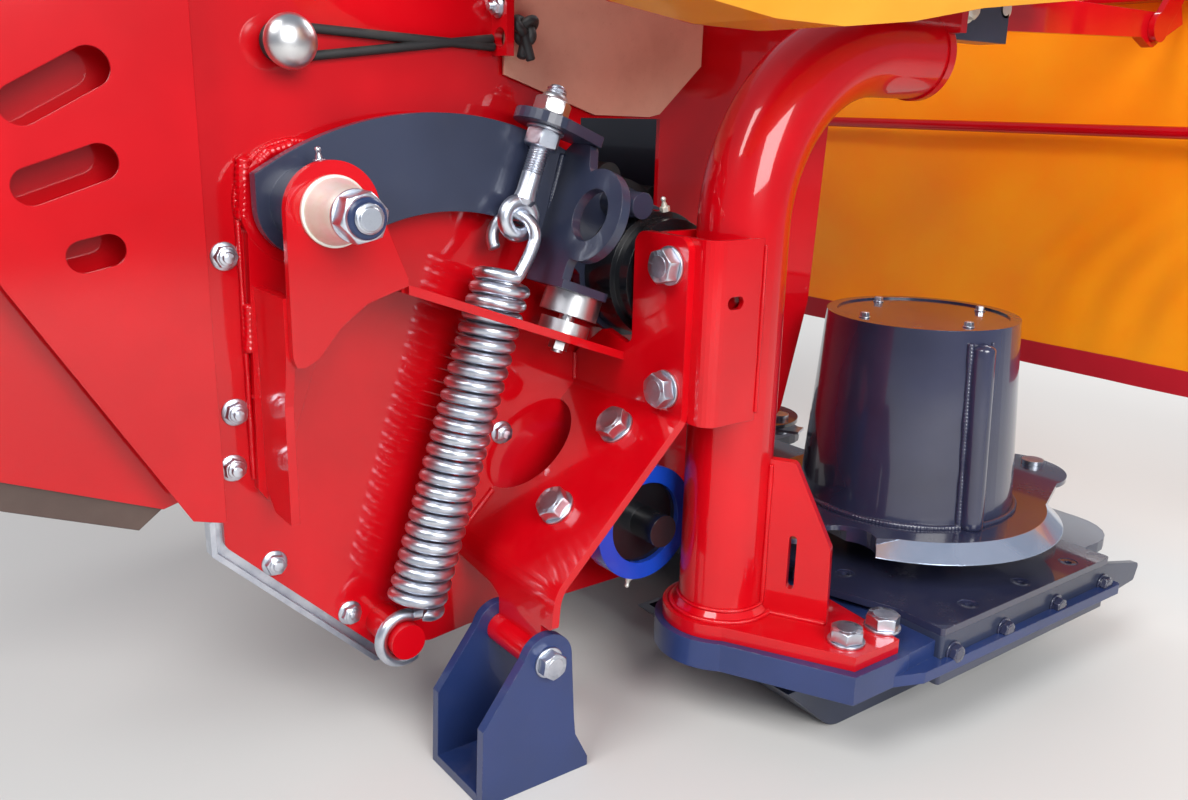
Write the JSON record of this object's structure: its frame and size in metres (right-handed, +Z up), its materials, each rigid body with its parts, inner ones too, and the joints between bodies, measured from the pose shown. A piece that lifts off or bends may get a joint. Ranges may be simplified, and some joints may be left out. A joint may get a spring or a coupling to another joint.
{
  "type": "disc mower conditioner end section",
  "caption": "End section of a disc mower conditioner: cutterbar discs, carrying post, sprung roller arm, conditioner rollers, side plate and guards.",
  "frame": {"origin": "on the sole of the end skid shoe, straight below the axis of the outer disc", "axes": "+X across the machine towards its outer end, +Y in the direction of travel, +Z up"},
  "size_m": [1.03, 1.474, 0.9],
  "materials": {
    "graphite_paint": "satin dark blue-grey paint",
    "red_paint": "gloss red powder coat",
    "zinc_plate": "bright zinc plating",
    "black_paint": "satin black paint",
    "black_rubber": "matt black rubber",
    "blue_plastic": "royal blue moulded guard",
    "grey_sheet": "grey sheet metal",
    "yellow_plastic": "yellow-orange moulded cover",
    "orange_fabric": "coated orange cloth"
  },
  "bodies": {
    "frame": {"cutterbar_trough": "graphite_paint", "cutterbar_top_plate": "graphite_paint", "rear_skid_extension": "graphite_paint", "end_shoe": "graphite_paint", "inner_shoe": "graphite_paint", "rock_guard_1": "graphite_paint", "rock_guard_2": "graphite_paint", "foot_flange": "red_paint", "foot_gusset": "red_paint", "upright_tube": "red_paint", "post_channel": "red_paint", "support_bracket": "red_paint", "side_plate": "red_paint", "pivot_doubler": "red_paint", "pivot_rib": "red_paint", "pivot_outer_plate": "red_paint", "pivot_bolt": "zinc_plate", "stop_ledge": "red_paint", "stop_buffer": "zinc_plate", "spring_anchor": "red_paint", "lower_bearing_housing": "black_paint", "lower_bearing_ring": "blue_plastic", "slotted_guard": "red_paint", "rear_deflector": "red_paint", "deflector_lip": "black_rubber", "bottom_strip": "zinc_plate", "latch_knob": "zinc_plate", "loop_bracket": "red_paint", "elastic_loop": "black_rubber", "hex_shield": "grey_sheet", "belt_cover": "yellow_plastic", "cover_backplate": "red_paint", "header_beam": "red_paint", "header_end_plate": "red_paint", "guard_bracket": "graphite_paint", "guard_arm_near": "red_paint", "guard_arm_far": "red_paint", "housing_roof": "red_paint", "crop_hood": "graphite_paint", "tension_spring": "zinc_plate"},
    "roller_arm": {"swing_arm": "graphite_paint", "arm_end_bracket": "graphite_paint", "roller_bearing_tube": "black_paint", "upper_bearing_neck": "black_paint", "spring_eyebolt": "zinc_plate"},
    "upper_roller": {"upper_roller_core": "graphite_paint", "upper_roller_lobes": "black_rubber"},
    "lower_roller": {"lower_roller_core": "graphite_paint", "lower_roller_lobes": "black_rubber"},
    "outer_disc": {"disc_1": "graphite_paint", "drum": "graphite_paint", "drum_lid": "graphite_paint", "blades_1": "zinc_plate"},
    "inner_disc": {"disc_2": "graphite_paint", "blades_2": "zinc_plate"},
    "skid_foot": {"rear_skid_foot": "graphite_paint", "foot_bolt": "zinc_plate"},
    "front_guard": {"curtain_frame": "red_paint", "curtain_rod": "red_paint", "front_curtain": "orange_fabric"}
  },
  "joints": [
    {"name": "outer_disc_spin", "type": "hinge", "parent": "frame", "child": "outer_disc", "pos_m": [0, 0, 0.17], "axis": [0, 0, 1], "continuous": true},
    {"name": "inner_disc_spin", "type": "hinge", "parent": "frame", "child": "inner_disc", "pos_m": [-0.52, 0, 0.17], "axis": [0, 0, 1], "continuous": true},
    {"name": "arm_swing", "type": "hinge", "parent": "frame", "child": "roller_arm", "pos_m": [-0.09, -0.705, 0.54], "axis": [1, 0, 0], "range_deg": [0, 12], "deforming": ["tension_spring"]},
    {"name": "upper_roller_spin", "type": "hinge", "parent": "roller_arm", "child": "upper_roller", "pos_m": [-0.4, -0.352, 0.462], "axis": [1, 0, 0], "continuous": true},
    {"name": "lower_roller_spin", "type": "hinge", "parent": "frame", "child": "lower_roller", "pos_m": [-0.4, -0.38, 0.206], "axis": [1, 0, 0], "continuous": true},
    {"name": "foot_fold", "type": "hinge", "parent": "frame", "child": "skid_foot", "pos_m": [-0.02, -0.548, 0.128], "axis": [1, 0, 0], "range_deg": [0, 60]},
    {"name": "guard_lift", "type": "hinge", "parent": "frame", "child": "front_guard", "pos_m": [-0.265, 0.35, 0.737], "axis": [1, 0, 0], "range_deg": [0, 90]}
  ],
  "couplings": [
    {"joint": "inner_disc_spin", "follows": "outer_disc_spin", "ratio": -1}
  ]
}
